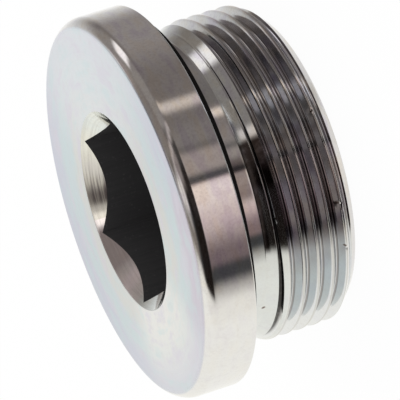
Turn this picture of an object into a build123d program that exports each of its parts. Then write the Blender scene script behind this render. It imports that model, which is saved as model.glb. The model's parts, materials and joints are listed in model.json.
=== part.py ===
from build123d import *
import os
from math import cos, radians, sin, tan

# Hex socket screw plug, M42 x 2, turned from one bar, with a profile seal ring under its 50 mm flange.
# It stands on its thread end: Z = 0 is the end face, and +Z runs along the axis to the socket face.
# The socket has two of its six corners on the X axis.

# Driving dimensions, in millimetres and degrees
overall_height = 23.4

flange_height = 6.8
flange_crown_angle = 10.0
flange_crown_radius = 2.3
flange_crown_end_angle = 50.0
flange_face_edge_radius = 0.8
flange_rear_edge_bevel = 0.15
flange_contact_land = 1.8

thread_diameter = 42.0
thread_end_chamfer = 2.2
thread_end_edge_radius = 1.5

relief_depth = 1.5
relief_length = 3.95
relief_ramp_angle = 30.0
relief_corner_bevel = 0.4

socket_across_flats = 22.0
socket_mouth_margin = 0.4
socket_countersink_angle = 90.0
socket_depth = 12.0
socket_drill_point_angle = 118.0

seal_width = 3.3
seal_thickness = 2.2
seal_recess_depth = 1.4
seal_outer_clearance = 0.2
seal_bore_clearance = 0.2
seal_edge_bevel = 0.15
seal_lip_bevel = 0.6
seal_tilt = 0.85
seal_raised_side = 21.9

# Radii and levels that follow from them. The flange reaches as far out as the seal and its land need.
thread_radius = thread_diameter / 2
neck_radius = thread_radius - relief_depth
end_radius = thread_radius - thread_end_chamfer
seal_bore_radius = neck_radius + seal_bore_clearance
seal_radius = seal_bore_radius + seal_width
recess_radius = seal_radius + seal_outer_clearance
flange_radius = recess_radius + flange_contact_land

flange_rear_level = overall_height - flange_height
crown_height = flange_crown_radius * (sin(radians(flange_crown_end_angle)) - sin(radians(flange_crown_angle)))
face_edge_height = flange_face_edge_radius * (1 - sin(radians(flange_crown_end_angle)))
crown_start_level = overall_height - face_edge_height - crown_height
recess_floor_level = flange_rear_level + seal_recess_depth
ramp_start_level = flange_rear_level - relief_length
ramp_end_level = ramp_start_level - relief_depth / tan(radians(relief_ramp_angle))

socket_corner_radius = socket_across_flats / 2 / cos(radians(30))
socket_mouth_radius = socket_corner_radius + socket_mouth_margin
countersink_depth = socket_mouth_radius / tan(radians(socket_countersink_angle / 2))
socket_floor_level = overall_height - socket_depth
pilot_radius = socket_across_flats / 2
drill_point_depth = pilot_radius / tan(radians(socket_drill_point_angle / 2))


def polar(angle):
    """The direction at an angle in degrees from the radius of a turned section."""
    return Vector(cos(radians(angle)), sin(radians(angle)))


def corner_at(section, radius, level):
    """The corner of a turned section nearest to a radius and a level."""
    return section.vertices().sort_by_distance((radius, level))[0]


# Plug body: one turned profile, then the countersink, the broached hexagon and its drilled end.
with BuildPart() as plug_body:
    with BuildSketch(Plane.XZ) as turned_section:
        with BuildLine():
            side = Polyline(
                (0, overall_height),
                (0, 0),
                (end_radius, 0),
                (thread_radius, thread_end_chamfer),
                (thread_radius, ramp_end_level),
                (neck_radius, ramp_start_level),
                (neck_radius, recess_floor_level),
                (recess_radius, recess_floor_level),
                (recess_radius, flange_rear_level),
                (flange_radius, flange_rear_level),
                (flange_radius, crown_start_level),
            )
            # The rim's front edge is a crown: a long curve that starts on a crease and ends in the face's edge.
            crown = JernArc(side @ 1, polar(90 + flange_crown_angle), flange_crown_radius,
                            flange_crown_end_angle - flange_crown_angle)
            face_edge = JernArc(crown @ 1, crown % 1, flange_face_edge_radius, 90 - flange_crown_end_angle)
            Line(face_edge @ 1, (0, overall_height))
        make_face()
        fillet(corner_at(turned_section, end_radius, 0), thread_end_edge_radius)
        chamfer(corner_at(turned_section, flange_radius, flange_rear_level), flange_rear_edge_bevel)
        chamfer(corner_at(turned_section, neck_radius, recess_floor_level), relief_corner_bevel)
    revolve(axis=Axis.Z)
    with BuildSketch(Plane.XY.offset(overall_height)):
        RegularPolygon(radius=socket_corner_radius, side_count=6)
    extrude(amount=-socket_depth, mode=Mode.SUBTRACT)
    with BuildSketch(Plane.XZ):
        Polygon(
            (0, overall_height),
            (socket_mouth_radius, overall_height),
            (0, overall_height - countersink_depth),
            align=None,
        )
        Polygon(
            (0, socket_floor_level),
            (pilot_radius, socket_floor_level),
            (0, socket_floor_level - drill_point_depth),
            align=None,
        )
    revolve(axis=Axis.Z, mode=Mode.SUBTRACT)
plug_body.part.label = "plug_body"


# Seal ring: it isn't pressed home evenly. One side of its inner face touches the recess floor,
# and the side towards seal_raised_side stands off it.
seal_normal = Vector(0, 0, 1).rotate(Axis.Y, seal_tilt).rotate(Axis.Z, seal_raised_side)
seal_seat_level = recess_floor_level - seal_radius * sin(radians(seal_tilt))

with BuildPart() as seal_ring:
    with BuildSketch(Plane(origin=(0, 0, seal_seat_level), z_dir=seal_normal)):
        Circle(seal_radius)
        Circle(seal_bore_radius, mode=Mode.SUBTRACT)
    extrude(amount=-seal_thickness)
    bore_edges, rim_edges = seal_ring.edges().filter_by(GeomType.CIRCLE).group_by(SortBy.RADIUS)
    chamfer(rim_edges, seal_edge_bevel)
    chamfer(bore_edges.sort_by(Axis.Z)[-1], seal_lip_bevel)
seal_ring.part.label = "seal_ring"


os.makedirs("parts", exist_ok=True)
export_step(plug_body.part, "parts/plug_body.step")
export_step(seal_ring.part, "parts/seal_ring.step")
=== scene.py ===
import bpy
import json
import math
import numpy as np
from mathutils import Matrix, Vector


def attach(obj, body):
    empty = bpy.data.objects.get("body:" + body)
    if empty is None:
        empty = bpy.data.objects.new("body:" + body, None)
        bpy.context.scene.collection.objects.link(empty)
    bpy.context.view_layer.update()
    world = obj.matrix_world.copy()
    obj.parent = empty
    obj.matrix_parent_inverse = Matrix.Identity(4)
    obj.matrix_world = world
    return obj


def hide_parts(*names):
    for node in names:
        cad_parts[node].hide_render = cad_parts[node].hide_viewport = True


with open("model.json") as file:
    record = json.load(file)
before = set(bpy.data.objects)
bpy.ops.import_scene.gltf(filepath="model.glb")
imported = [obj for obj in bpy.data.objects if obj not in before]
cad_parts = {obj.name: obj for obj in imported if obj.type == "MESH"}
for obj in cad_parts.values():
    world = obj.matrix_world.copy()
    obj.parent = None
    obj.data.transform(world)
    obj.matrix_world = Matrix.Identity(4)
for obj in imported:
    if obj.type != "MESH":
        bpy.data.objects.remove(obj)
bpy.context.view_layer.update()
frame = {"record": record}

MM = 0.001
TAU = 2 * math.pi


# ---------------------------------------------------------------- sizes
#
# Lengths are in millimetres. Z = 0 is the thread end, and the axis is +Z.

MOUNTS = {mount["name"]: mount for mount in frame["record"]["mounts"]}


def mount_level(name):
    """Level of one of the record's mounts."""
    return round(MOUNTS[name]["pos_m"][2] / MM, 3)


# From the frame: the levels of the socket's face and of the flange's seat, and the thread's radius
HEIGHT = mount_level("hex_socket")
FLANGE_REAR = mount_level("flange_seat")
THREAD_R = MOUNTS["thread"]["dims"]["r_mm"]

# Relief: a neck behind the thread, with a ramp up to the thread's full diameter
RELIEF_DEPTH = 1.5
RELIEF_LENGTH = 3.95
RAMP_ANGLE = math.radians(30)
NECK_CORNER_R = 0.5
RAMP_CORNER_R = 0.25
NECK_R = THREAD_R - RELIEF_DEPTH
RAMP_TOP = FLANGE_REAR - RELIEF_LENGTH
RAMP_END = RAMP_TOP - RELIEF_DEPTH / math.tan(RAMP_ANGLE)

# Seal ring, which sits round the neck in a recess and is pressed in a little askew
SEAL_WIDTH = 3.3
SEAL_THICKNESS = 2.2
SEAL_CLEARANCE = 0.2
SEAL_LIP_R = 0.45
SEAL_EDGE_R = 0.15
SEAL_TILT = math.radians(0.85)
SEAL_RAISED_SIDE = math.radians(21.9)
RECESS_DEPTH = 1.4
RECESS_EDGE_R = 0.08
SEAL_BORE_R = NECK_R + SEAL_CLEARANCE
SEAL_R = SEAL_BORE_R + SEAL_WIDTH
RECESS_R = SEAL_R + SEAL_CLEARANCE
RECESS_FLOOR = FLANGE_REAR + RECESS_DEPTH
SEAL_SEAT = RECESS_FLOOR - SEAL_R * math.sin(SEAL_TILT)

# Flange, which reaches as far out as the recess and its contact land need. Its front edge is a crown: a long
# curve between two slopes, then a tighter one into the face.
CONTACT_LAND = 1.8
REAR_EDGE_R = 0.15
CROWN_R = 2.3
CROWN_FROM = math.radians(10)
CROWN_TO = math.radians(50)
CREASE_R = 1.8                          # softens the crease that the crown starts on
FACE_EDGE_R = 0.8
FLANGE_R = RECESS_R + CONTACT_LAND
CROWN_WIDTH = CROWN_R * (math.cos(CROWN_FROM) - math.cos(CROWN_TO))
CROWN_HEIGHT = CROWN_R * (math.sin(CROWN_TO) - math.sin(CROWN_FROM))
FACE_R = FLANGE_R - CROWN_WIDTH - FACE_EDGE_R * math.cos(CROWN_TO)
CROWN_START = HEIGHT - FACE_EDGE_R * (1 - math.sin(CROWN_TO)) - CROWN_HEIGHT

# Thread end
END_CHAMFER = 2.2
END_EDGE_R = 1.5
END_R = THREAD_R - END_CHAMFER

# Hex socket: a drilled and broached hexagon under a 90 degree countersink
HEX_FLATS = 22.0
MOUTH_MARGIN = 0.4                      # the countersink is this much wider than the corners, in radius
MOUTH_EDGE_R = 0.07
SOCKET_DEPTH = 12.0
DRILL_HALF_ANGLE = math.radians(59)
HEX_CORNER_R = HEX_FLATS / 2 / math.cos(TAU / 12)
MOUTH_R = HEX_CORNER_R + MOUTH_MARGIN
SOCKET_FLOOR = HEIGHT - SOCKET_DEPTH
DRILL_TIP = SOCKET_FLOOR - HEX_FLATS / 2 / math.tan(DRILL_HALF_ANGLE)
CONE_GAP = 0.05                         # the countersink's last row is this far inside its mouth

# Thread form: the metric profile, with its flat crests rounded a little and its roots rounded in full
PITCH = 2.0
CREST_FLAT = PITCH / 8
CREST_ROUND = 0.06
ROOT_ROUND = 0.144 * PITCH
FLANK = math.radians(30)                # a flank's angle from square to the axis

# Offsets from a crest's middle: where the crest's round starts and ends, and where the root's round starts
CREST_TANGENT = CREST_ROUND * math.tan((TAU / 4 - FLANK) / 2)
CREST_ROUND_FROM = CREST_FLAT / 2 - CREST_TANGENT
CREST_ROUND_TO = CREST_FLAT / 2 + CREST_TANGENT * math.sin(FLANK)
ROOT_ROUND_FROM = PITCH / 2 - ROOT_ROUND * math.cos(FLANK)

# Where the helix starts, and where its grooves stop
FRONT_SIDE = -68.1                      # degrees from the X axis to the side that faces the camera
FRONT_AZIMUTH = math.radians(FRONT_SIDE)
CREST_LEVEL = 8.43                      # level of a crest's middle on that side
GROOVE_LOW = 0.7
GROOVE_HIGH = 12.3

# The last groove comes up on the ramp and thins out to a line. Back down from a level near the line's end
# it gets deeper, first by a slope and then by a curve too.
RUN_OUT_LEVEL = 11.57
RUN_OUT_LINE = 0.03                     # depth of the line at that level
RUN_OUT_SLOPE = 0.2                     # depth gained in a millimetre
RUN_OUT_STRAIGHT = 0.2                  # distance from that level to the curve
RUN_OUT_CURVE = 0.7

# Nicks in the crests by the thread end: degrees from the front side, level, width and depth.
NICKS = [(-20.5, 2.60, 0.50, 0.22), (-37.0, 2.45, 0.42, 0.12), (13.0, 2.65, 0.40, 0.12)]
# Bruises in the plating: degrees from the front side, level and radius.
BRUISES = [(-20.0, 2.75, 0.30), (-36.4, 2.45, 0.22), (13.0, 2.65, 0.18), (-59.0, 12.85, 0.34)]

# Fineness of the meshes
COLUMNS = 480                           # steps round the axis, a multiple of 6 for the hexagon
SEAL_COLUMNS = 360
CONE_STEPS = 5                          # steps up the countersink
TIP_GUARD = 1.5                         # a row at this radius keeps the drill tip's shading to itself
GUARD = 0.03                            # an extra row this far off a rounded edge keeps its shading to itself
SHARP_ANGLE = math.radians(24)
SAME_POINT = 5                          # points that agree in this many decimals are one
TOUCHING = 1e-6                         # a smaller gap between the thread and the blank is none
CLEAR = 1e-4                            # a row moves to the crease only where a gap is larger than this


# ---------------------------------------------------------------- turned sections

def rounded(points):
    """Rows (radius, level) of a section given as (r, z) or, for a rounded corner, (r, z, radius, steps)."""
    rows = []
    for i, point in enumerate(points):
        here = Vector(point[:2])
        if len(point) == 2:
            rows.append(tuple(here))
            continue
        radius, steps = point[2:]
        before = (Vector(points[i - 1][:2]) - here).normalized()
        after = (Vector(points[i + 1][:2]) - here).normalized()
        half = before.angle(after) / 2
        reach = radius / math.tan(half)
        centre = here + (before + after).normalized() * (radius / math.sin(half))
        first = here + before * reach - centre
        last = here + after * reach - centre
        turn = first.angle_signed(last)
        rows.append(tuple(here + before * (reach + GUARD)))
        for k in range(steps + 1):
            a = -turn * k / steps
            spoke = Vector((first.x * math.cos(a) - first.y * math.sin(a),
                            first.x * math.sin(a) + first.y * math.cos(a)))
            rows.append(tuple(centre + spoke))
        rows.append(tuple(here + after * (reach + GUARD)))
    return rows


def arc(centre_r, centre_z, radius, start, end, steps):
    """Rows (radius, level) of an arc, between two slopes of its outward direction in radians."""
    slopes = [start + (end - start) * k / steps for k in range(steps + 1)]
    return [(centre_r + radius * math.cos(a), centre_z + radius * math.sin(a)) for a in slopes]


def column_angles(columns=COLUMNS):
    """The angle of each column of a mesh, in radians from the X axis."""
    return np.arange(columns) * TAU / columns


def around(radius, level, columns=COLUMNS):
    """Points round the axis, rows x columns x 3, from a radius and a level for each row or each point."""
    angle = column_angles(columns)
    return np.stack([radius * np.cos(angle), radius * np.sin(angle), level + 0 * angle], axis=2)


def revolve(section, columns=COLUMNS):
    """Points of a turned section, which is a list of (radius, level)."""
    radius, level = (np.array(values, float)[:, None] for values in zip(*section))
    return around(radius, level, columns)


def grid_faces(rows, columns, start=0):
    """Quads between neighbouring rows of a grid that goes all the way round."""
    j = np.arange(rows - 1)[:, None]
    i = np.arange(columns)[None, :]
    i_after = (i + 1) % columns
    here, below = j * columns, (j + 1) * columns
    quads = np.stack([here + i, below + i, below + i_after, here + i_after], axis=2)
    return start + quads.reshape(-1, 4)


def mesh_object(name, vertices, quads, slots=None):
    """A mesh in metres from vertices in millimetres, with doubled points joined and empty faces dropped.

    slots are the quads' material slots, where there is more than one.
    """
    rounded_off = np.round(vertices, SAME_POINT)
    _, first, inverse = np.unique(rounded_off, axis=0, return_index=True, return_inverse=True)
    faces, kept = [], []
    for number, quad in enumerate(inverse.reshape(-1)[quads].tolist()):
        face = [v for k, v in enumerate(quad) if v != quad[k - 1]]
        if len(face) >= 3 and len(set(face)) == len(face):
            faces.append(face)
            kept.append(number)
    mesh = bpy.data.meshes.new(name)
    mesh.from_pydata((vertices[first] * MM).tolist(), [], faces)
    if slots is not None:
        mesh.polygons.foreach_set("material_index", slots[kept])
    mesh.shade_smooth()
    mesh.set_sharp_from_angle(angle=SHARP_ANGLE)
    obj = bpy.data.objects.new(name, mesh)
    bpy.context.scene.collection.objects.link(obj)
    return obj


# ---------------------------------------------------------------- thread

def envelope(z):
    """Radius of the blank at a level: the end chamfer, the full diameter, then the ramp into the relief."""
    ramp = THREAD_R - (z - RAMP_END) * math.tan(RAMP_ANGLE)
    return np.minimum(np.minimum(END_R + z, ramp), THREAD_R)


def thread_form(s):
    """Radius of the thread at an offset along the axis from the middle of a crest."""
    s = np.abs((s + PITCH / 2) % PITCH - PITCH / 2)
    slope = 1 / math.tan(FLANK)
    flank = THREAD_R - (s - CREST_FLAT / 2) * slope
    over_crest = np.maximum(s - CREST_ROUND_FROM, 0)
    crest = THREAD_R - CREST_ROUND + np.sqrt(np.maximum(CREST_ROUND ** 2 - over_crest ** 2, 0))
    apex = THREAD_R - (PITCH - CREST_FLAT) / 2 * slope
    root_centre = apex + ROOT_ROUND / math.sin(FLANK)
    root = root_centre - np.sqrt(np.maximum(ROOT_ROUND ** 2 - (PITCH / 2 - s) ** 2, 0))
    return np.where(s > ROOT_ROUND_FROM, root, np.where(s < CREST_ROUND_TO, crest, flank))


def run_out(z, offset):
    """How far the tool has left the groove: the last turn comes up on the ramp as a line that thins out."""
    middle = z - (offset % PITCH - PITCH / 2)
    back = RUN_OUT_LEVEL - middle
    curve = RUN_OUT_CURVE * np.maximum(back - RUN_OUT_STRAIGHT, 0) ** 1.5
    depth = RUN_OUT_LINE + RUN_OUT_SLOPE * back + curve
    return np.maximum(envelope(middle) - depth - thread_form(PITCH / 2), 0)


def thread_radius(z, offset):
    """Radius of the thread at a level and an offset from a crest, with the run-out of its last turn."""
    return thread_form(offset) + run_out(z, offset)


def between(start, end, shares):
    """Values at shares of the way from start to end."""
    return [start + (end - start) * share for share in shares]


def row_offsets():
    """Offsets from the middle of a crest at which one turn of the thread has its rows."""
    half = between(CREST_ROUND_FROM, CREST_ROUND_TO, (0, 0.5, 1))
    half += between(CREST_ROUND_TO, ROOT_ROUND_FROM, (0.25, 0.5, 0.75))
    half += between(ROOT_ROUND_FROM, PITCH / 2, (0, 0.35, 0.7))
    return [0.0] + half + [PITCH / 2] + [PITCH - s for s in reversed(half)]


def move_to_crease(z, offsets, rise):
    """Where the thread form meets the blank between two rows, the nearer row moves onto the crease."""
    gap = envelope(z) - thread_radius(z, offsets[:, None])
    crossed = (gap[:-1] > TOUCHING) != (gap[1:] > TOUCHING)
    wide = np.maximum(np.abs(gap[:-1]), np.abs(gap[1:])) > CLEAR
    for j, i in zip(*np.nonzero(crossed & wide)):
        near, far = offsets[j], offsets[j + 1]
        base = CREST_LEVEL + rise[i]
        for _ in range(20):             # halvings, enough for any offset between two rows
            middle = (near + far) / 2
            apart = envelope(base + middle) - thread_radius(base + middle, middle) > TOUCHING
            if apart == (gap[j, i] > TOUCHING):
                near = middle
            else:
                far = middle
        closer = j if near - offsets[j] < offsets[j + 1] - near else j + 1
        z[closer, i] = base + near


def nicked(radius, z):
    """Radii of the thread with the nicks taken out."""
    for side, level, width, depth in NICKS:
        across = (column_angles() - FRONT_AZIMUTH - math.radians(side) + math.pi) % TAU - math.pi
        away = np.hypot(THREAD_R * across[None, :], z - level) / width
        radius = radius - depth * np.clip(1 - away ** 2, 0, 1) ** 2
    return radius


def thread_rows():
    """Points of the threaded stretch, on rows that climb with the helix and stop at its two ends."""
    turn = row_offsets()
    rise = PITCH * (column_angles() - FRONT_AZIMUTH) / TAU
    first_turn = math.floor((GROOVE_LOW - CREST_LEVEL - rise.max()) / PITCH) - 1
    last_turn = math.ceil((GROOVE_HIGH - CREST_LEVEL - rise.min()) / PITCH) + 1
    offsets = np.array([number * PITCH + s for number in range(first_turn, last_turn + 1) for s in turn])
    z = CREST_LEVEL + rise[None, :] + offsets[:, None]
    move_to_crease(z, offsets, rise)
    z = np.clip(z, GROOVE_LOW, GROOVE_HIGH)
    radius = np.minimum(envelope(z), thread_radius(z, z - CREST_LEVEL - rise[None, :]))
    return around(nicked(radius, z), z), len(turn)


def thread_faces(rows, per_turn, start):
    """Quads of the threaded stretch. At the seam a row goes on as the row one turn higher."""
    j = np.arange(rows - 1)[:, None]
    i = np.arange(COLUMNS)[None, :]

    def here(row):
        return row * COLUMNS + i

    def one_column_on(row):
        turn_higher = np.minimum(row + per_turn, rows - 1)
        return np.where(i == COLUMNS - 1, turn_higher * COLUMNS, here(row) + 1)

    quads = np.stack([here(j + 1), here(j), one_column_on(j), one_column_on(j + 1)], axis=2)
    return start + quads.reshape(-1, 4)


# ---------------------------------------------------------------- plug body

def socket_rows():
    """Rows from the drill tip out over the floor, up the hexagon and over all but the countersink's end."""
    def ring(value):
        return np.full(COLUMNS, float(value))

    flats = HEX_FLATS / 2 / np.cos(column_angles() % (TAU / 6) - TAU / 12)
    crease = HEIGHT - (MOUTH_R - flats)
    drilled = (0, TIP_GUARD, HEX_FLATS / 2)
    rows = [(ring(r), ring(DRILL_TIP + r / math.tan(DRILL_HALF_ANGLE))) for r in drilled]
    rows.append((flats, ring(SOCKET_FLOOR)))
    for k in range(CONE_STEPS):
        climb = (MOUTH_R - CONE_GAP - flats) * k / CONE_STEPS
        rows.append((flats + climb, crease + climb))
    radius, level = (np.stack(values) for values in zip(*rows))
    return around(radius, level)


def flange_rows():
    """Rows from the countersink's end over the face, crown and rim, into the recess and down the neck."""
    crown_centre_r = FLANGE_R - CROWN_R * math.cos(CROWN_FROM)
    crown_centre_z = CROWN_START - CROWN_R * math.sin(CROWN_FROM)
    # Each arc leaves its end to what follows: the next arc, or the softened crease.
    return revolve(rounded([
        (MOUTH_R - CONE_GAP, HEIGHT - CONE_GAP),
        (MOUTH_R, HEIGHT, MOUTH_EDGE_R, 3),
        (FACE_R - 2 * GUARD, HEIGHT),
        *arc(FACE_R, HEIGHT - FACE_EDGE_R, FACE_EDGE_R, TAU / 4, CROWN_TO, 7)[:-1],
        *arc(crown_centre_r, crown_centre_z, CROWN_R, CROWN_TO, CROWN_FROM, 12)[:-2],
        (FLANGE_R, CROWN_START, CREASE_R, 5),
        (FLANGE_R, FLANGE_REAR, REAR_EDGE_R, 4),
        (RECESS_R, FLANGE_REAR, RECESS_EDGE_R, 2),
        (RECESS_R, RECESS_FLOOR),
        (NECK_R, RECESS_FLOOR, NECK_CORNER_R, 4),
        (NECK_R, RAMP_TOP, RAMP_CORNER_R, 3),
        (float(envelope(GROOVE_HIGH)), GROOVE_HIGH),
    ]))


def end_rows():
    """Rows from the thread's last groove over the end's rounded edge to the middle of the end face."""
    return revolve(rounded([
        (float(envelope(GROOVE_LOW)), GROOVE_LOW),
        (END_R, 0, END_EDGE_R, 7),
        (0, 0),
    ]))


def plug_body():
    """The whole body as one mesh, with slot 0 for the plating and 1 for the socket below the countersink."""
    socket = socket_rows()
    upper = np.concatenate([socket, flange_rows()])
    thread, per_turn = thread_rows()
    lower = end_rows()
    thread_start = len(upper) * COLUMNS
    lower_start = thread_start + len(thread) * COLUMNS
    vertices = np.concatenate([rows.reshape(-1, 3) for rows in (upper, thread, lower)])
    faces = np.concatenate([
        grid_faces(len(upper), COLUMNS),
        thread_faces(len(thread), per_turn, thread_start),
        grid_faces(len(lower), COLUMNS, lower_start),
    ])
    below_crease = len(socket) - CONE_STEPS
    slots = np.zeros(len(faces), dtype=np.int32)
    slots[:below_crease * COLUMNS] = 1
    return mesh_object("plug_body_turned", vertices, faces, slots)


def seal_ring():
    """The seal ring, with a rounded lip at its bore, leaned and lifted onto the recess floor."""
    seam = (SEAL_BORE_R, -SEAL_THICKNESS / 2)
    section = rounded([
        seam,
        (SEAL_BORE_R, 0, SEAL_LIP_R, 5),
        (SEAL_R, 0, SEAL_EDGE_R, 4),
        (SEAL_R, -SEAL_THICKNESS, SEAL_EDGE_R, 4),
        (SEAL_BORE_R, -SEAL_THICKNESS, SEAL_EDGE_R, 4),
        seam,
    ])
    vertices = revolve(section, SEAL_COLUMNS).reshape(-1, 3)
    obj = mesh_object("seal_ring_moulded", vertices, grid_faces(len(section), SEAL_COLUMNS))
    lean = Matrix.Rotation(SEAL_RAISED_SIDE, 4, "Z") @ Matrix.Rotation(SEAL_TILT, 4, "Y")
    obj.data.transform(Matrix.Translation((0, 0, SEAL_SEAT * MM)) @ lean)
    return obj


body = plug_body()
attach(body, "root")
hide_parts("plug_body")

ring = seal_ring()
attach(ring, "root")
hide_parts("seal_ring")


# ---------------------------------------------------------------- camera

def camera_from(azimuth, elevation, roll, distance, shift_right, shift_down, lens, sensor=36):
    """The scene's camera, aimed past the middle of the socket face, in degrees and millimetres."""
    azimuth, elevation, roll = (math.radians(a) for a in (azimuth, elevation, roll))
    outward = Vector((math.cos(elevation) * math.cos(azimuth), math.cos(elevation) * math.sin(azimuth),
                      math.sin(elevation)))
    level = Vector((-math.sin(azimuth), math.cos(azimuth), 0))
    upright = outward.cross(level)
    right = level * math.cos(roll) + upright * math.sin(roll)
    up = outward.cross(right)
    place = Vector((0, 0, HEIGHT)) + outward * distance - right * shift_right + up * shift_down
    data = bpy.data.cameras.new("camera")
    data.sensor_width = sensor
    data.lens = lens
    data.clip_start, data.clip_end = 0.01, 20  # metres
    camera = bpy.data.objects.new("camera", data)
    bpy.context.scene.collection.objects.link(camera)
    camera.matrix_world = Matrix.Translation(place * MM) @ Matrix((right, up, outward)).transposed().to_4x4()
    bpy.context.scene.camera = camera


camera_from(azimuth=FRONT_SIDE, elevation=18.0, roll=-107.63, distance=643.54,
            shift_right=-9.698, shift_down=1.434, lens=460.9)


# ---------------------------------------------------------------- node helpers

class Nodes:
    """A short way to write a node tree."""

    def __init__(self, tree):
        self.tree = tree
        tree.nodes.clear()

    def give(self, node, key, value):
        """Links a node's input to a socket, or sets it to a value."""
        if isinstance(value, bpy.types.NodeSocket):
            self.tree.links.new(value, node.inputs[key])
        else:
            node.inputs[key].default_value = value

    def new(self, kind, inputs=(), **settings):
        """A node of a kind, with its inputs by name or number, and its settings."""
        node = self.tree.nodes.new(kind)
        for name, value in settings.items():
            setattr(node, name, value)
        for key, value in dict(inputs).items():
            self.give(node, key, value)
        return node

    def math(self, operation, *values):
        return self.new("ShaderNodeMath", dict(enumerate(values)), operation=operation).outputs[0]

    def step(self, value, low, high):
        """0 below low, 1 above high, smooth between. With low above high it falls."""
        node = self.new("ShaderNodeMapRange", {"Value": value, "From Min": low, "From Max": high},
                        interpolation_type="SMOOTHSTEP")
        return node.outputs["Result"]

    def band(self, value, low, high, soft_low, soft_high):
        """1 between low and high, with soft edges centred on them."""
        rise = self.step(value, low - soft_low / 2, low + soft_low / 2)
        fall = self.step(value, high + soft_high / 2, high - soft_high / 2)
        return self.math("MULTIPLY", rise, fall)

    def both(self, *masks):
        """Where all the masks hold."""
        product = masks[0]
        for mask in masks[1:]:
            product = self.math("MULTIPLY", product, mask)
        return product

    def mix(self, factor, a, b, blend="MIX"):
        """A colour between two, which are sockets or red, green and blue."""
        node = self.new("ShaderNodeMix", {"Factor": factor}, data_type="RGBA", blend_type=blend)
        for key, colour in ((6, a), (7, b)):
            self.give(node, key, (*colour, 1) if isinstance(colour, tuple) else colour)
        return node.outputs[2]

    def noise(self, vector, scale=1.0, detail=2.0, roughness=0.5):
        inputs = {"Vector": vector, "Scale": scale, "Detail": detail, "Roughness": roughness}
        return self.new("ShaderNodeTexNoise", inputs).outputs["Fac"]

    def combine(self, x, y, z):
        return self.new("ShaderNodeCombineXYZ", {"X": x, "Y": y, "Z": z}).outputs[0]

    def from_front(self, vector):
        """X, Y and Z of a vector, with X towards the side that the camera is on."""
        turned = self.new("ShaderNodeVectorRotate", {"Vector": vector, "Angle": -FRONT_AZIMUTH},
                          rotation_type="Z_AXIS").outputs[0]
        return self.new("ShaderNodeSeparateXYZ", {"Vector": turned}).outputs

    def azimuth(self, x, y):
        """Degrees round the axis from X."""
        return self.math("DEGREES", self.math("ARCTAN2", y, x))

    def length(self, x, y):
        """Distance of a point from the origin of a plane."""
        squares = self.math("ADD", self.math("MULTIPLY", x, x), self.math("MULTIPLY", y, y))
        return self.math("SQRT", squares)


class PlugNodes(Nodes):
    """Nodes that know where on the plug the shaded point is.

    place is in metres. radius, level and depth, which is how far the point lies under the threaded blank, are
    in millimetres. side is in degrees from the front side, and slope is how far the surface looks along +Z.
    """

    def __init__(self, tree):
        super().__init__(tree)
        spot = self.new("ShaderNodeTexCoord").outputs
        self.place = spot["Object"]
        self.slope = self.new("ShaderNodeSeparateXYZ", {"Vector": spot["Normal"]}).outputs["Z"]
        x, y, z = self.from_front(self.place)
        self.radius = self.math("MULTIPLY", self.length(x, y), 1 / MM)
        self.level = self.math("MULTIPLY", z, 1 / MM)
        self.side = self.azimuth(x, y)
        self.depth = self.math("SUBTRACT", self.blank_radius(), self.radius)

    def blank_radius(self):
        """Radius of the threaded blank at the point's level, as the node form of envelope()."""
        fall = math.tan(RAMP_ANGLE)
        ramp = self.math("MULTIPLY_ADD", self.level, -fall, THREAD_R + RAMP_END * fall)
        end = self.math("ADD", self.level, END_R)
        return self.math("MINIMUM", self.math("MINIMUM", ramp, end), THREAD_R)

    def round_noise(self, across, along, detail, roughness):
        """Noise in streaks that run round the axis and close on themselves: along is how often it changes."""
        angle = self.math("RADIANS", self.side)
        x, y = (self.math("MULTIPLY", self.math(kind, angle), along) for kind in ("COSINE", "SINE"))
        return self.noise(self.combine(across, x, y), 1.0, detail, roughness)

    def sides(self, tone, strokes, within=None, blend="MIX"):
        """A tone with others laid over it on some sides of the plug, where the mask within holds.

        A stroke is (side from, to, softness, softness, tone). A limit past 180 degrees is none.
        """
        for low, high, soft_low, soft_high, colour in strokes:
            mask = self.band(self.side, low, high, soft_low, soft_high)
            if within is not None:
                mask = self.both(within, mask)
            tone = self.mix(mask, tone, colour, blend)
        return tone


def new_material(name, kind=Nodes):
    """A material, and the empty node tree that it is written in."""
    material = bpy.data.materials.new(name)
    material.use_nodes = True
    return material, kind(material.node_tree)


def principled(nodes, **inputs):
    """Ends a material with a Principled shader."""
    names = {key.replace("_", " "): value for key, value in inputs.items()}
    shader = nodes.new("ShaderNodeBsdfPrincipled", names)
    nodes.new("ShaderNodeOutputMaterial", {"Surface": shader.outputs[0]})


# ---------------------------------------------------------------- studio

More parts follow.
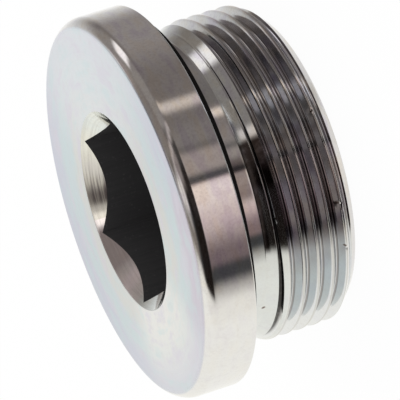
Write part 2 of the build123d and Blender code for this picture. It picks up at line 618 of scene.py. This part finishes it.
# Soft boxes and dark flags that the metal mirrors, each over those before it. A patch is (azimuth from, to,
# softness, softness; elevation from, to, softness, softness; colour). Azimuths are in degrees from the side
# that the camera is on. A limit past 180 degrees, or past 90 in elevation, is none.
STUDIO_DARK = (0.055, 0.055, 0.058)      # where there is no patch
STUDIO_PATCHES = [
    # the floor of the studio, seen in the thread
    (-181, 181, 1, 1, -95, -28, 1, 6, (0.20, 0.20, 0.205)),
    (-56, 28, 16, 16, -52, -30, 8, 4, (0.55, 0.54, 0.54)),
    (56, 98, 8, 14, -50, -28, 8, 4, (0.30, 0.29, 0.305)),
    (44, 59, 7, 6, -50, -29, 8, 4, (1.02, 1.07, 1.14)),
    # grey-brown side, with a lighter edge and two strips
    (23, 150, 8, 10, -23, 66, 4, 20, (0.185, 0.165, 0.158)),
    (88, 152, 34, 14, -23, -6, 4, 16, (0.285, 0.262, 0.255)),
    (24, 152, 6, 14, 8, 60, 16, 20, (0.262, 0.240, 0.226)),
    (28, 92, 8, 30, 42, 80, 12, 10, (0.205, 0.180, 0.172)),
    (24, 62, 8, 20, 66, 80, 5, 5, (0.27, 0.24, 0.235)),
    (24, 36, 6, 8, -23, -3, 4, 8, (0.215, 0.195, 0.187)),
    (7, 21, 5, 6, -23, 2, 4, 8, (0.36, 0.31, 0.29)),
    (47, 53.5, 6, 5, -23, 4, 4, 10, (0.66, 0.585, 0.53)),
    # low warm sheet in front
    (-47, 2, 6, 2, -23, -2, 4, 8, (0.19, 0.145, 0.15)),
    (-29, 2, 24, 2, -23, -2, 4, 8, (0.68, 0.56, 0.54)),
    (-12, 1, 14, 2, -23, -2, 4, 8, (0.88, 0.77, 0.73)),
    # soft box at the right, and the white wall behind
    (104, 142, 10, 14, 38, 60, 8, 12, (0.31, 0.27, 0.265)),
    (128, 150, 8, 16, 37, 60, 8, 12, (0.66, 0.62, 0.61)),
    (91, 109, 8, 9, 8, 30, 6, 8, (1.1, 1.05, 1.05)),
    (150, 181, 44, 1, -60, 46, 10, 30, (0.97, 0.97, 0.96)),
    # overhead: grey-brown, brighter at the top, with a white sheet over the front edge
    (-181, 181, 1, 1, 54, 95, 10, 1, (0.22, 0.20, 0.19)),
    (-181, 181, 1, 1, 80, 95, 10, 1, (0.54, 0.52, 0.50)),
    # big white sheet on the other side
    (-181, -59, 1, 9, -60, 66, 12, 30, (0.42, 0.40, 0.375)),
    (-181, -67, 1, 14, -60, 66, 12, 30, (0.90, 0.885, 0.83)),
    (-181, -84, 1, 16, -60, 66, 12, 30, (0.96, 0.955, 0.91)),
    # the open front of the studio, dark above the level of the plug
    (-4, 30, 12, 6, 22, 62, 16, 10, (0.26, 0.225, 0.215)),
    (-66, 4, 7, 16, 1, 47, 6, 13, (0.010, 0.007, 0.006)),
    (-12, 30, 14, 5, 1, 29, 6, 16, (0.055, 0.050, 0.048)),
    (-14, 15, 14, 9, 1, 31, 6, 18, (0.022, 0.017, 0.016)),
    # a strip that climbs aslant to the white sheet
    (35, 41, 4, 4, -2, 20, 8, 8, (0.44, 0.395, 0.385)),
    (31, 37, 4, 4, 17, 34, 8, 8, (0.46, 0.41, 0.40)),
    (26, 34, 5, 5, 32, 46, 6, 7, (0.74, 0.675, 0.655)),
    (24, 31, 5, 6, 44, 58, 8, 8, (0.46, 0.41, 0.40)),
    (12, 26, 8, 8, 55, 72, 8, 8, (0.50, 0.45, 0.43)),
    (-32, 22, 18, 18, 60, 82, 12, 8, (0.56, 0.53, 0.51)),
    (-16, 13, 12, 12, 53, 80, 11, 8, (0.80, 0.75, 0.72)),
    (-14, 16, 12, 10, 68, 79, 5, 5, (1.05, 1.0, 0.96)),
    # white floor behind, under the thread end
    (-181, -146, 1, 14, -90, -30, 20, 20, (0.86, 0.85, 0.83)),
    (154, 181, 14, 1, -90, -30, 20, 20, (0.80, 0.79, 0.77)),
]


def studio_world():
    """White for the camera and for plain surfaces. Metal mirrors the patches."""
    world = bpy.data.worlds.new("studio")
    bpy.context.scene.world = world
    world.use_nodes = True
    nodes = Nodes(world.node_tree)
    x, y, z = nodes.from_front(nodes.new("ShaderNodeTexCoord").outputs["Generated"])
    azimuth = nodes.azimuth(x, y)
    elevation = nodes.math("DEGREES", nodes.math("ARCSINE", z))
    colour = STUDIO_DARK
    for *limits, tone in STUDIO_PATCHES:
        mask = nodes.both(nodes.band(azimuth, *limits[:4]), nodes.band(elevation, *limits[4:]))
        colour = nodes.mix(mask, colour, tone)
    glossy = nodes.new("ShaderNodeLightPath").outputs["Is Glossy Ray"]
    shown = nodes.mix(glossy, (1, 1, 1), colour)
    background = nodes.new("ShaderNodeBackground", {"Color": shown, "Strength": 1.0})
    nodes.new("ShaderNodeOutputWorld", {"Surface": background.outputs[0]})


def studio_floor(half_width=4.0, glow_share=0.965):
    """White paper under the plug, in metres. To the camera most of it glows, so that shadows stay faint."""
    corners = [(x * half_width, y * half_width, 0) for x, y in ((-1, -1), (1, -1), (1, 1), (-1, 1))]
    mesh = bpy.data.meshes.new("floor")
    mesh.from_pydata(corners, [], [(0, 1, 2, 3)])
    floor = bpy.data.objects.new("floor", mesh)
    bpy.context.scene.collection.objects.link(floor)
    material, nodes = new_material("floor_paper")
    paper = nodes.new("ShaderNodeBsdfDiffuse", {"Color": (0.95, 0.95, 0.95, 1)})
    glow = nodes.new("ShaderNodeEmission", {"Color": (1, 1, 1, 1), "Strength": 1.0})
    camera_ray = nodes.new("ShaderNodeLightPath").outputs["Is Camera Ray"]
    share = nodes.math("MULTIPLY", camera_ray, glow_share)
    mixed = nodes.new("ShaderNodeMixShader", {0: share, 1: paper.outputs[0], 2: glow.outputs[0]})
    nodes.new("ShaderNodeOutputMaterial", {"Surface": mixed.outputs[0]})
    mesh.materials.append(material)
    floor.visible_glossy = False


# ---------------------------------------------------------------- plated steel

def thread_tone(nodes):
    """Bright flanks, with painted reflections lighter on some sides and darker on others. In the grooves a
    darker film and painted shade: darkest under the crests, in the roots and in the last turns by the ramp.
    """
    depth, level, slope = nodes.depth, nodes.level, nodes.slope
    groove = nodes.both(nodes.step(depth, 0.03, 0.12), nodes.step(level, GROOVE_HIGH, GROOVE_HIGH - 0.3))
    deep = nodes.step(depth, 0.95, 1.1)
    # Painted shade: the flanks under the crests, the roots and the hollows are darkened, on top of a darker
    # film.
    under_crest = nodes.both(groove, nodes.step(slope, -0.4, -0.7), nodes.step(depth, 1.1, 0.9))
    root = nodes.both(groove, nodes.band(slope, 0.05, 0.8, 0.1, 0.1), deep)
    hollow = nodes.both(groove, nodes.band(slope, -0.6, 0.8, 0.2, 0.1), deep)
    # Painted reflections: the flanks are lighter on some sides of the plug and darker on others.
    flank_tone_and_reflections = nodes.sides((0.78, 0.79, 0.80), [
        (-62, 66, 20, 10, (0.72, 0.74, 0.765)),
        (12, 44, 8, 8, (0.93, 0.935, 0.95)),
        (-27, -11, 4, 10, (0.80, 0.77, 0.77)),
        (-9, 10, 10, 6, (0.56, 0.54, 0.55)),
    ])
    # Painted shade under the crests and in the hollows, lighter and darker by side.
    painted_under_crest_shade = nodes.sides((0.34, 0.32, 0.32), [
        (-181, -35, 1, 8, (0.50, 0.52, 0.53)),
        (-181, -45, 1, 10, (0.60, 0.65, 0.67)),
        (-7, 11, 8, 6, (0.215, 0.205, 0.21)),
        (12.5, 181, 7, 1, (0.23, 0.22, 0.225)),
        (62, 181, 12, 1, (0.66, 0.64, 0.65)),
        (1.5, 6.5, 3, 4, (0.33, 0.32, 0.32)),
    ])
    painted_hollow_shade = nodes.sides((0.19, 0.17, 0.17), [
        (-14, 181, 12, 1, (0.14, 0.13, 0.135)),
        (1.5, 6.5, 3, 4, (0.42, 0.40, 0.41)),
    ])
    tone = nodes.mix(groove, (0.83, 0.82, 0.81), flank_tone_and_reflections)
    tone = nodes.mix(under_crest, tone, painted_under_crest_shade)
    tone = nodes.mix(root, tone, (0.33, 0.32, 0.32))
    tone = nodes.mix(nodes.both(hollow, nodes.band(nodes.side, -28, 13, 6, 30)), tone, painted_hollow_shade)
    # Painted shade: in the last turns, by the ramp, the grooves are made nearly black.
    return nodes.mix(nodes.both(groove, nodes.step(level, 10.6, 10.9)), tone, (0.04, 0.038, 0.036))


def relief_tone(nodes, tone):
    """The neck and the ramp: duller than the thread, with a painted dark reflection on the ramp's front
    sides, and painted shade at the ramp's foot and along the run-out's edge.
    """
    level, radius, slope = nodes.level, nodes.radius, nodes.slope
    relief = nodes.both(nodes.band(level, 10.2, 18, 0.3, 0.3), nodes.step(radius, THREAD_R + 0.2, THREAD_R),
                        nodes.step(nodes.depth, 0.1, 0.03))
    ramp = nodes.both(relief, nodes.step(slope, 0.35, 0.45),
                      nodes.step(level, RAMP_TOP + 0.15, RAMP_TOP - 0.05))
    foot = nodes.step(radius, NECK_R + 0.45, NECK_R + 0.25)
    edge = nodes.both(nodes.band(level, 10.9, 12.4, 0.1, 0.1), nodes.step(slope, 0.45, 0.35),
                      nodes.step(radius, THREAD_R - 0.1, THREAD_R - 0.2))
    dark = (0.075, 0.062, 0.056)
    tone = nodes.mix(relief, tone, (0.73, 0.75, 0.74))
    # Painted dark reflection on the ramp's front sides, and painted shade at its foot.
    tone = nodes.sides(tone, [(-8, 10.5, 6, 2.5, dark)], within=ramp)
    tone = nodes.sides(tone, [(-31, 0, 4, 6, dark)], within=nodes.both(ramp, foot))
    # Painted shade: a darker line along the run-out's edge.
    return nodes.sides(tone, [(-30, 8, 4, 6, (0.40, 0.38, 0.37))], within=edge, blend="MULTIPLY")


def crown_tone(nodes, tone):
    """Two painted dark patches on the flange's crown, on sides near the front, standing in for darker
    reflections.
    """
    slope = nodes.slope
    rim = nodes.step(nodes.radius, FLANGE_R - 1.1, FLANGE_R - 0.9)
    low = nodes.both(rim, nodes.step(nodes.level, 20.6, 20.8), nodes.band(slope, 0.40, 0.54, 0.06, 0.06))
    high = nodes.both(rim, nodes.step(slope, 0.58, 0.68))
    # Painted darker reflections on the crown, by side.
    tone = nodes.sides(tone, [(11, 19, 3, 3, (0.52, 0.51, 0.51))], within=low)
    return nodes.sides(tone, [(-9, 10, 5, 5, (0.60, 0.59, 0.58))], within=high)


def crest_tone(nodes, tone):
    """The crests, duller than the flanks, with painted highlights on some sides and painted darker
    reflections on others.
    """
    crests = nodes.both(nodes.step(nodes.level, 12.0, 11.6), nodes.step(nodes.depth, 0.1, 0.03),
                        nodes.step(nodes.radius, THREAD_R - 0.1, THREAD_R - 0.03))
    # Painted highlights and darker reflections on the crests, by side.
    return nodes.mix(crests, tone, nodes.sides((0.65, 0.65, 0.635), [
        (34, 54, 10, 10, (0.50, 0.48, 0.48)),
        (-18, 2, 12, 6, (0.38, 0.36, 0.355)),
        (11, 28, 5, 6, (0.95, 0.92, 0.90)),
        (65, 181, 6, 1, (0.95, 0.93, 0.94)),
    ]))


def neck_tone(nodes, tone):
    """Painted shade and painted highlights on stretches of the neck: darker on the front side and the far
    sides, lighter on two narrow sides.
    """
    neck = nodes.both(nodes.band(nodes.level, RAMP_TOP + 0.15, RECESS_FLOOR, 0.3, 0.3),
                      nodes.step(nodes.radius, NECK_R + 0.5, NECK_R + 0.3))
    # Painted shade and painted highlights on the neck, by side.
    return nodes.sides(tone, [
        (-10, 6, 6, 4, (0.30, 0.28, 0.275)),
        (49, 181, 26, 1, (0.30, 0.28, 0.28)),
        (12, 28, 4, 3, (1.0, 0.98, 0.97)),
        (-24, -11, 3, 5, (1.0, 0.95, 0.93)),
    ], within=neck)


def face_tint(nodes):
    """The face: cyan, lilac and cream tints of the film, in soft rings, patches and swirls."""
    radius, side = nodes.radius, nodes.side
    cloud = nodes.noise(nodes.place, 110, 3.0, 0.55)
    film = nodes.math("MULTIPLY_ADD", cloud, 7.0, nodes.math("SUBTRACT", radius, 3.5))
    tint = nodes.mix(nodes.step(film, 15.2, 17.2), (0.665, 0.67, 0.655), (0.59, 0.68, 0.715))
    tint = nodes.mix(nodes.step(film, 19.6, 21.6), tint, (0.595, 0.615, 0.715))
    pale = nodes.math("MULTIPLY", nodes.band(side, 30, 132, 40, 40), 0.75)
    tint = nodes.mix(pale, tint, (0.705, 0.735, 0.77))
    cream = nodes.both(nodes.band(side, -115, -48, 24, 24), nodes.step(radius, 27, 15))
    tint = nodes.mix(cream, tint, (0.79, 0.785, 0.77))
    lilac = nodes.both(nodes.band(side, -46, 2, 20, 14), nodes.step(film, 18.6, 20.8))
    tint = nodes.mix(lilac, tint, (0.605, 0.565, 0.66))
    swirl = nodes.round_noise(nodes.math("MULTIPLY", radius, 0.42), 3.2, 3.0, 0.6)
    tint = nodes.mix(nodes.math("MULTIPLY", nodes.step(swirl, 0.50, 0.68), 0.5), tint, (0.575, 0.70, 0.73))
    tint = nodes.mix(nodes.math("MULTIPLY", nodes.step(swirl, 0.50, 0.32), 0.65), tint, (0.665, 0.635, 0.73))
    rings = nodes.round_noise(nodes.math("MULTIPLY", radius, 5), 1.2, 4.0, 0.65)
    return nodes.mix(nodes.math("MULTIPLY", nodes.step(rings, 0.35, 0.65), 0.12), tint, (0.80, 0.80, 0.80))


def countersink_tone(nodes, tone):
    """The countersink: a light cone with painted reflections, lighter and darker by side, and streaks that
    run round it from a tool that chattered, drawn strongest on some sides as painted dark reflections.
    """
    radius, side = nodes.radius, nodes.side
    cone = nodes.both(nodes.step(radius, MOUTH_R, MOUTH_R - 0.05), nodes.step(nodes.level, 20, 20.2))
    # Painted reflections: a warmer tone, a painted highlight and two darker stretches on some sides of the
    # cone.
    bright = nodes.sides((0.79, 0.825, 0.80), [(117, 181, 18, 1, (0.83, 0.82, 0.745))])
    tone = nodes.mix(cone, tone, bright)
    tone = nodes.sides(tone, [(-181, -118, 1, 10, (1.0, 0.95, 0.94))], within=cone)
    tone = nodes.sides(tone, [
        (-174, -148, 4, 6, (0.83, 0.79, 0.79)),
        (138, 169, 22, 5, (0.80, 0.78, 0.79)),
    ], within=cone, blend="MULTIPLY")
    streaks = nodes.combine(nodes.math("MULTIPLY", radius, 3.2), nodes.math("MULTIPLY", side, 0.02), 0.0)
    # The chatter streaks are drawn strongest on some sides, as painted dark reflections.
    strength = nodes.math("MULTIPLY_ADD", nodes.band(side, 153, 170, 20, 5), 0.80, 0.15)
    chatter = nodes.both(nodes.step(nodes.noise(streaks, 1.0, 3.0, 0.6), 0.40, 0.66), strength)
    return nodes.mix(nodes.both(cone, chatter), tone, (0.17, 0.145, 0.15))


def mottled(nodes, tone, face):
    """Mottling of the plating: fine on every turned surface, and streaks, stains and grain off the face."""
    side, place = nodes.side, nodes.place
    mottle = nodes.math("MULTIPLY", nodes.step(nodes.noise(place, 900, 4.0, 0.6), 0.45, 0.75), 0.16)
    tone = nodes.mix(mottle, tone, (0.60, 0.55, 0.55))
    off_face = nodes.both(nodes.math("MULTIPLY_ADD", nodes.band(side, -30, 100, 8, 30), 0.75, 0.25),
                          nodes.math("SUBTRACT", 1.0, face))
    streak = nodes.round_noise(nodes.math("MULTIPLY", nodes.level, 0.8), 6.5, 2.0, 0.5)
    stain = nodes.both(nodes.step(nodes.noise(place, 420, 4.0, 0.65), 0.52, 0.68),
                       nodes.math("MULTIPLY_ADD", nodes.band(side, -32, 4, 6, 6), 0.30, 0.12))
    grain = nodes.math("MULTIPLY", nodes.step(nodes.noise(place, 3000, 2.0, 0.6), 0.45, 0.68), 0.35)
    for mask, colour in (
        (nodes.step(streak, 0.48, 0.66), (1.0, 0.965, 0.91)),
        (nodes.step(streak, 0.50, 0.32), (0.91, 0.88, 0.95)),
        (stain, (0.80, 0.75, 0.76)),
        (grain, (0.78, 0.76, 0.76)),
    ):
        tone = nodes.mix(nodes.both(off_face, mask), tone, colour, "MULTIPLY")
    return tone


def bruised(nodes, tone):
    """Small bruises: dark spots where the film is broken."""
    degree = 0.36                       # length of a degree round the thread
    for side, level, size in BRUISES:
        across = nodes.math("MULTIPLY", nodes.math("SUBTRACT", nodes.side, side), degree)
        along = nodes.math("SUBTRACT", nodes.level, level)
        spot = nodes.step(nodes.length(across, along), size, size * 0.4)
        tone = nodes.mix(spot, tone, (0.20, 0.15, 0.13))
    return tone


def plated_steel():
    """Bright zinc under a thin clear film, with fine turning marks."""
    material, nodes = new_material("zinc_plated_steel", PlugNodes)
    face = nodes.step(nodes.level, HEIGHT - 0.22, HEIGHT - 0.02)
    tone = thread_tone(nodes)
    tone = relief_tone(nodes, tone)
    tone = crown_tone(nodes, tone)
    tone = crest_tone(nodes, tone)
    tone = neck_tone(nodes, tone)
    tone = nodes.mix(face, tone, face_tint(nodes))
    tone = countersink_tone(nodes, tone)
    tone = mottled(nodes, tone, face)
    tone = bruised(nodes, tone)
    feed = 9                            # turning marks per millimetre, about
    across = (nodes.math("MULTIPLY", value, feed) for value in (nodes.radius, nodes.level))
    marks = nodes.noise(nodes.combine(*across, 0.0), 1.0, 3.0, 0.6)
    bump = nodes.new("ShaderNodeBump", {"Height": marks, "Strength": 0.012, "Distance": 0.0001})
    tangent = nodes.new("ShaderNodeTangent", direction_type="RADIAL", axis="Z").outputs[0]
    roughness = nodes.math("MULTIPLY_ADD", face, 0.18, 0.10)
    principled(nodes, Base_Color=tone, Metallic=1.0, Roughness=roughness, Anisotropic=0.5,
               Anisotropic_Rotation=0.25, Normal=bump.outputs[0], Tangent=tangent)
    return material


# ---------------------------------------------------------------- other materials

def socket_steel():
    """The broached hexagon: dull and dark, the dark tone partly the steel's own and partly painted shade
    inside the socket, with marks along the axis.
    """
    material, nodes = new_material("socket_steel", PlugNodes)
    across, along = nodes.math("MULTIPLY", nodes.side, 0.9), nodes.math("MULTIPLY", nodes.level, 0.12)
    streaks = nodes.noise(nodes.combine(across, along, 0.0), 1.0, 3.0, 0.6)
    grain = nodes.noise(nodes.place, 2500, 3.0, 0.6)
    tone = nodes.mix(streaks, (0.045, 0.044, 0.045), (0.085, 0.083, 0.086))
    tone = nodes.mix(nodes.math("MULTIPLY", nodes.step(grain, 0.62, 0.72), 0.5), tone, (0.15, 0.15, 0.15))
    bump = nodes.new("ShaderNodeBump", {"Height": streaks, "Strength": 0.2, "Distance": 0.0001})
    principled(nodes, Base_Color=tone, Metallic=0.4, Roughness=0.5, Normal=bump.outputs[0])
    return material


def black_rubber():
    """Matt black rubber with a fine grain."""
    material, nodes = new_material("black_rubber")
    grain = nodes.noise(nodes.new("ShaderNodeTexCoord").outputs["Object"], 4000, 3.0)
    tone = nodes.mix(grain, (0.003, 0.0022, 0.002), (0.007, 0.006, 0.0055))
    bump = nodes.new("ShaderNodeBump", {"Height": grain, "Strength": 0.1, "Distance": 0.0001})
    principled(nodes, Base_Color=tone, Roughness=0.6, Specular_IOR_Level=0.15, Normal=bump.outputs[0])
    return material


body.data.materials.append(plated_steel())
body.data.materials.append(socket_steel())
ring.data.materials.append(black_rubber())

studio_floor()
studio_world()
bpy.context.scene.view_settings.view_transform = "Standard"
